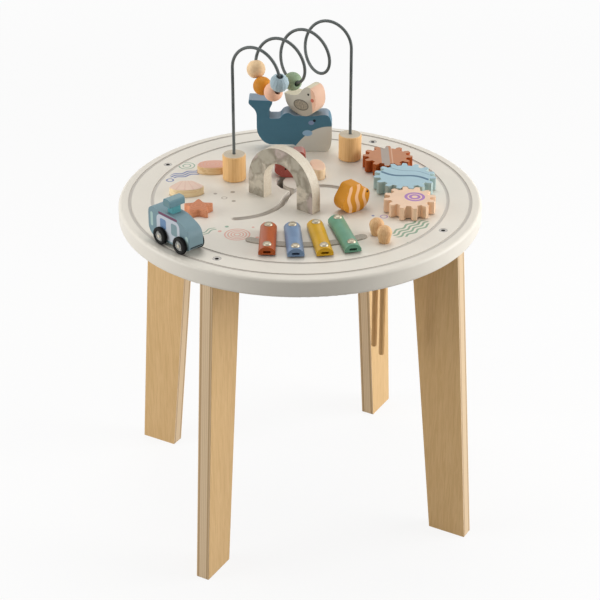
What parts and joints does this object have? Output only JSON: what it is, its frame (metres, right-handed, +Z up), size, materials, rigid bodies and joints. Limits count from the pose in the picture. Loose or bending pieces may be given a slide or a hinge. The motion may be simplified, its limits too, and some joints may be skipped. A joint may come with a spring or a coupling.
{
  "type": "toddler activity table",
  "caption": "Round toddler activity table on splayed plywood legs: bead coil, meshing gears, arched xylophone bars with mallets, ring-road car, sliding sea figures and lift-out shapes.",
  "frame": {"origin": "on the floor, under the middle of the round top", "axes": "+Z up, -Y towards the xylophone side, the legs on the diagonals of X and Y"},
  "size_m": [0.4499, 0.45, 0.6078],
  "materials": {
    "top_paint": "satin white paint over fibreboard, grey ring lines",
    "birch_ply": "clear matt lacquer on birch plywood",
    "dark_steel": "dark zinc",
    "insert_brass": "plain",
    "wire_coat": "grey powder coat",
    "post_wood": "clear matt lacquer",
    "screw_steel": "zinc plate",
    "bead_natural_wood": "clear matt lacquer",
    "bead_orange_paint": "matt water-based paint",
    "bead_peach_paint": "matt water-based paint",
    "bead_blue_paint": "matt water-based paint",
    "bead_green_paint": "matt water-based paint",
    "whale_paint": "matt paint, pale belly",
    "bird_paint": "matt paint, pale edges",
    "arch_paint": "printed stone pattern, pale edges",
    "fish_paint": "matt paint with stripes",
    "crab_paint": "matt paint",
    "keeper_plastic": "moulded",
    "gear_blue_paint": "matt paint",
    "gear_orange_paint": "matt paint",
    "gear_peach_paint": "matt paint",
    "key_rust_coat": "satin powder coat",
    "key_blue_coat": "satin powder coat",
    "key_ochre_coat": "satin powder coat",
    "key_green_coat": "satin powder coat",
    "bright_steel": "bright nickel",
    "cushion_rubber": "matt",
    "strip_felt": "felt",
    "mallet_wood": "clear matt lacquer",
    "car_paint": "matt paint with pale side panels",
    "car_bar_paint": "matt paint",
    "tyre_rubber": "matt",
    "hub_plastic": "silver lacquer",
    "shape_oval_paint": "pink top on natural wood",
    "shape_fan_paint": "pale pink top on natural wood",
    "shape_star_paint": "matt paint",
    "shape_pebble_paint": "peach top on natural wood"
  },
  "bodies": {
    "table": {"table_top": "top_paint", "leg_front_left": "birch_ply", "leg_front_right": "birch_ply", "leg_back_right": "birch_ply", "leg_back_left": "birch_ply", "leg_bolts": "dark_steel", "leg_inserts": "insert_brass", "post_left": "post_wood", "post_right": "post_wood", "maze_wire": "wire_coat", "post_screws": "screw_steel", "whale": "whale_paint", "whale_screws": "screw_steel", "bird_pin": "post_wood", "stone_arch": "arch_paint", "arch_screws": "screw_steel", "gear_axles": "post_wood", "gear_washers": "keeper_plastic", "key_rust": "key_rust_coat", "key_blue": "key_blue_coat", "key_ochre": "key_ochre_coat", "key_green": "key_green_coat", "key_screws": "bright_steel", "key_cushions": "cushion_rubber", "damper_strip": "strip_felt"},
    "bead_natural": {"bead_natural": "bead_natural_wood"},
    "bead_orange": {"bead_orange": "bead_orange_paint"},
    "bead_peach": {"bead_peach": "bead_peach_paint"},
    "bead_blue": {"bead_blue": "bead_blue_paint"},
    "bead_green": {"bead_green": "bead_green_paint"},
    "bird": {"bird": "bird_paint"},
    "fish": {"fish": "fish_paint", "fish_stem": "screw_steel", "fish_keeper": "keeper_plastic"},
    "crab": {"crab": "crab_paint", "crab_stem": "screw_steel", "crab_keeper": "keeper_plastic"},
    "gear_blue": {"gear_blue": "gear_blue_paint"},
    "gear_orange": {"gear_orange": "gear_orange_paint"},
    "gear_peach": {"gear_peach": "gear_peach_paint"},
    "mallet_a": {"mallet_stick_a": "mallet_wood", "mallet_head_a": "mallet_wood"},
    "mallet_b": {"mallet_stick_b": "mallet_wood", "mallet_head_b": "mallet_wood"},
    "car": {"car_body": "car_paint", "car_roof": "car_bar_paint"},
    "car_front_wheels": {"car_front_axle": "bright_steel", "car_front_tyres": "tyre_rubber", "car_front_hubs": "hub_plastic"},
    "car_rear_wheels": {"car_rear_axle": "bright_steel", "car_rear_tyres": "tyre_rubber", "car_rear_hubs": "hub_plastic"},
    "shape_oval": {"shape_oval": "shape_oval_paint"},
    "shape_fan": {"shape_fan": "shape_fan_paint"},
    "shape_star": {"shape_star": "shape_star_paint"},
    "shape_pebble": {"shape_pebble": "shape_pebble_paint"}
  },
  "joints": [
    {"name": "bead_natural_run", "type": "hinge", "parent": "table", "child": "bead_natural", "pos_m": [-0.01696, 0.06401, 0.57544], "axis": [0.8849, 0.4186, -0.2044], "range_deg": [0, 30]},
    {"name": "bead_orange_run", "type": "hinge", "parent": "table", "child": "bead_orange", "pos_m": [-0.02207, 0.062, 0.57629], "axis": [0.9443, 0.3177, -0.0859], "range_deg": [0, 30]},
    {"name": "bead_peach_run", "type": "hinge", "parent": "table", "child": "bead_peach", "pos_m": [-0.02784, 0.06013, 0.57626], "axis": [-0.9423, -0.3211, -0.0948], "range_deg": [0, 30]},
    {"name": "bead_blue_run", "type": "hinge", "parent": "table", "child": "bead_blue", "pos_m": [-0.03313, 0.05798, 0.57533], "axis": [-0.8769, -0.4321, -0.2105], "range_deg": [0, 30]},
    {"name": "bead_green_run", "type": "hinge", "parent": "table", "child": "bead_green", "pos_m": [0.01354, 0.0837, 0.57642], "axis": [0.953, 0.3029, 0], "range_deg": [-30, 30]},
    {"name": "bird_swivel", "type": "hinge", "parent": "table", "child": "bird", "pos_m": [0.04639, 0.14191, 0.4755], "axis": [0, 0, 1], "continuous": true},
    {"name": "fish_run", "type": "hinge", "parent": "table", "child": "fish", "pos_m": [0.0215, -0.02028, 0.425], "axis": [0, 0, 1], "range_deg": [0, 75]},
    {"name": "crab_run", "type": "hinge", "parent": "table", "child": "crab", "pos_m": [0.011, 0.041, 0.425], "axis": [0, 0, 1], "range_deg": [0, 45]},
    {"name": "gear_blue_spin", "type": "hinge", "parent": "table", "child": "gear_blue", "pos_m": [0.1322, -0.0125, 0.425], "axis": [0, 0, 1], "continuous": true},
    {"name": "gear_orange_spin", "type": "hinge", "parent": "table", "child": "gear_orange", "pos_m": [0.13062, 0.05198, 0.425], "axis": [0, 0, 1], "continuous": true},
    {"name": "gear_peach_spin", "type": "hinge", "parent": "table", "child": "gear_peach", "pos_m": [0.11758, -0.07532, 0.425], "axis": [0, 0, 1], "continuous": true},
    {"name": "mallet_a_lift", "type": "slide", "parent": "table", "child": "mallet_a", "axis": [0, 0, 1], "range_m": [0, 0.16]},
    {"name": "mallet_b_lift", "type": "slide", "parent": "table", "child": "mallet_b", "axis": [0, 0, 1], "range_m": [0, 0.16]},
    {"name": "car_drive", "type": "hinge", "parent": "table", "child": "car", "pos_m": [0, 0, 0.425], "axis": [0, 0, 1], "continuous": true},
    {"name": "car_front_axle_spin", "type": "hinge", "parent": "car", "child": "car_front_wheels", "pos_m": [-0.16543, -0.11036, 0.43605], "axis": [0.887, 0.4617, 0], "continuous": true},
    {"name": "car_rear_axle_spin", "type": "hinge", "parent": "car", "child": "car_rear_wheels", "pos_m": [-0.18206, -0.07843, 0.43605], "axis": [0.887, 0.4617, 0], "continuous": true},
    {"name": "shape_oval_lift", "type": "slide", "parent": "table", "child": "shape_oval", "axis": [0, 0, 1], "range_m": [0, 0.06]},
    {"name": "shape_fan_lift", "type": "slide", "parent": "table", "child": "shape_fan", "axis": [0, 0, 1], "range_m": [0, 0.06]},
    {"name": "shape_star_lift", "type": "slide", "parent": "table", "child": "shape_star", "axis": [0, 0, 1], "range_m": [0, 0.06]},
    {"name": "shape_pebble_lift", "type": "slide", "parent": "table", "child": "shape_pebble", "axis": [0, 0, 1], "range_m": [0, 0.06]}
  ],
  "couplings": [
    {"joint": "bead_orange_run", "follows": "bead_natural_run", "ratio": 1},
    {"joint": "bead_peach_run", "follows": "bead_blue_run", "ratio": 1},
    {"joint": "gear_orange_spin", "follows": "gear_blue_spin", "ratio": -1.25},
    {"joint": "gear_peach_spin", "follows": "gear_blue_spin", "ratio": -1.25},
    {"joint": "car_front_axle_spin", "follows": "car_drive", "ratio": 18.391},
    {"joint": "car_rear_axle_spin", "follows": "car_drive", "ratio": 18.391}
  ]
}
